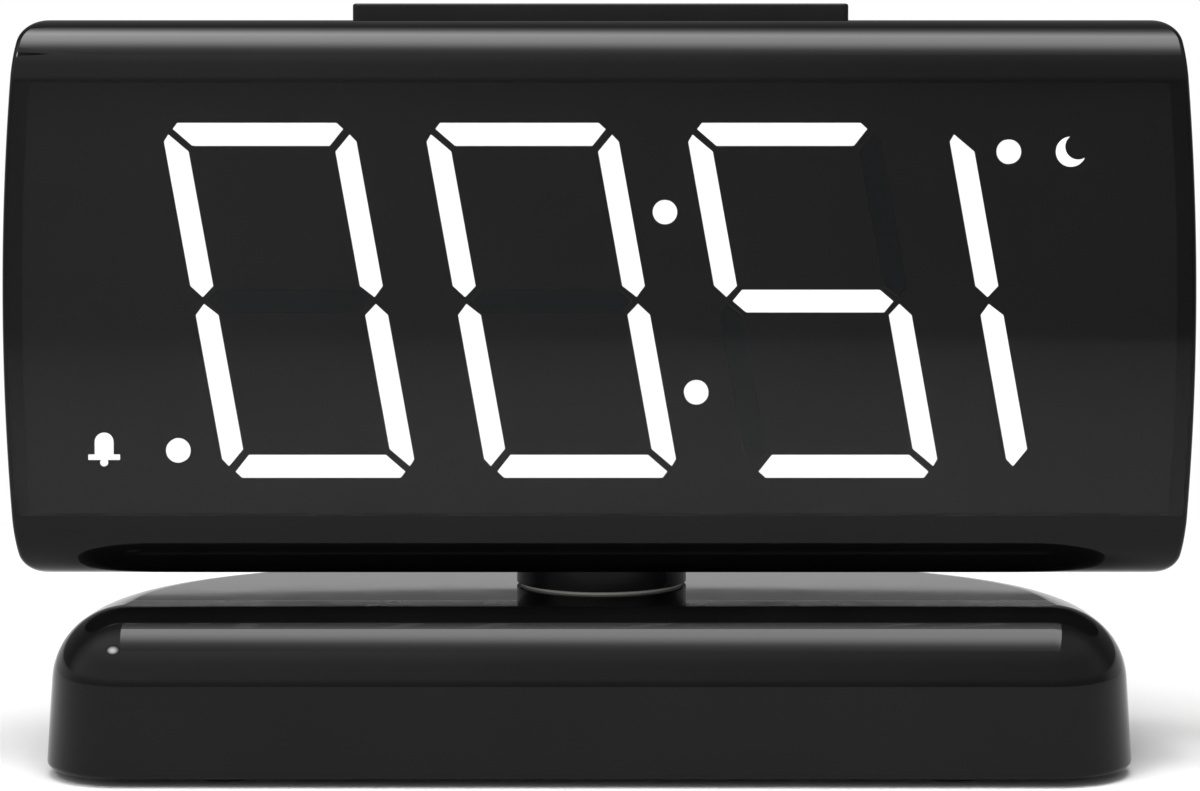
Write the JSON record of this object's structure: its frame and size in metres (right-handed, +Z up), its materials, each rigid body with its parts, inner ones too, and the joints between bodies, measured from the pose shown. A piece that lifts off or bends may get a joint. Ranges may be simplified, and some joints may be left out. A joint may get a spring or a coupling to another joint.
{
  "type": "alarm clock",
  "caption": "Digital alarm clock with a wide display head that swivels on a weighted base, a snooze bar on top and set buttons, a slide switch and a dimmer wheel at the back.",
  "frame": {"origin": "centre of the clock's footprint on the table, under the middle of the head", "axes": "+X to the right seen from the front, the display faces -Y, +Z up"},
  "size_m": [0.1654, 0.0598, 0.1076],
  "materials": {
    "case_black": "gloss",
    "base_black": "gloss",
    "smoked_cover": "clear smoked gloss",
    "shield_black": "matt",
    "bar_black": "satin",
    "button_black": "satin",
    "lit_white": "lit",
    "unlit_dark": "gloss",
    "print_white": "printed",
    "film_white": "matt",
    "led_yellow": "matt",
    "board_green": "satin",
    "chip_black": "matt",
    "switch_dark": "satin",
    "steel": "brushed",
    "brass": "polished",
    "white_nylon": "satin",
    "foot_rubber": "matt",
    "ballast_iron": "rough"
  },
  "bodies": {
    "base": {"base_top_shell": "base_black", "base_bottom_cover": "base_black", "ballast_plate": "ballast_iron", "rubber_feet": "foot_rubber", "base_screws": "steel", "swivel_bushing": "white_nylon"},
    "head": {"front_cover": "smoked_cover", "lit_segments": "lit_white", "unlit_segments": "unlit_dark", "colon_dots": "lit_white", "indicator_dots": "lit_white", "label_icons": "print_white", "light_shield": "shield_black", "diffuser_sheet": "film_white", "led_chips": "led_yellow", "led_board": "board_green", "display_screws": "steel", "rear_cover": "case_black", "rear_screws": "steel", "main_board": "board_green", "board_screws": "steel", "main_chip": "chip_black", "board_connector": "chip_black", "key_switches": "switch_dark", "alarm_switch_body": "steel", "dimmer_pot": "switch_dark", "power_inlet": "steel", "sounder": "chip_black", "cell_holder": "switch_dark", "cell_contact": "brass", "backup_cell": "steel", "snooze_board": "board_green", "snooze_switch": "switch_dark", "swivel_neck": "base_black", "neck_screws": "steel", "thrust_washer": "white_nylon", "spring_washer": "steel", "retaining_washer": "steel", "retaining_screw": "steel"},
    "snooze_bar": {"snooze_bar": "bar_black"},
    "time_button": {"time_button": "button_black"},
    "alarm_button": {"alarm_button": "button_black"},
    "minus_button": {"minus_button": "button_black"},
    "plus_button": {"plus_button": "button_black"},
    "alarm_switch_knob": {"alarm_switch_knob": "button_black"},
    "dimmer_wheel": {"dimmer_wheel": "button_black"},
    "battery_door": {"battery_door": "case_black"}
  },
  "joints": [
    {"name": "head_swivel", "type": "hinge", "parent": "base", "child": "head", "pos_m": [0, 0.003, 0.0235], "axis": [0, 0, 1], "range_deg": [-90, 90]},
    {"name": "snooze_press", "type": "slide", "parent": "head", "child": "snooze_bar", "axis": [0, 0, -1], "range_m": [0, 0.0012], "stiffness_N_per_m": 800, "springref_m": -0.0002},
    {"name": "time_button_press", "type": "slide", "parent": "head", "child": "time_button", "axis": [0, -1, 0], "range_m": [0, 0.0008], "stiffness_N_per_m": 500},
    {"name": "alarm_button_press", "type": "slide", "parent": "head", "child": "alarm_button", "axis": [0, -1, 0], "range_m": [0, 0.0008], "stiffness_N_per_m": 500},
    {"name": "minus_button_press", "type": "slide", "parent": "head", "child": "minus_button", "axis": [0, -1, 0], "range_m": [0, 0.0008], "stiffness_N_per_m": 500},
    {"name": "plus_button_press", "type": "slide", "parent": "head", "child": "plus_button", "axis": [0, -1, 0], "range_m": [0, 0.0008], "stiffness_N_per_m": 500},
    {"name": "alarm_switch_slide", "type": "slide", "parent": "head", "child": "alarm_switch_knob", "axis": [1, 0, 0], "range_m": [0, 0.003]},
    {"name": "dimmer_turn", "type": "hinge", "parent": "head", "child": "dimmer_wheel", "pos_m": [0.022, 0.0142, 0.07], "axis": [0, 0, 1], "range_deg": [-135, 135]},
    {"name": "battery_door_release", "type": "slide", "parent": "head", "child": "battery_door", "axis": [0, 1, 0], "range_m": [0, 0.012]}
  ]
}
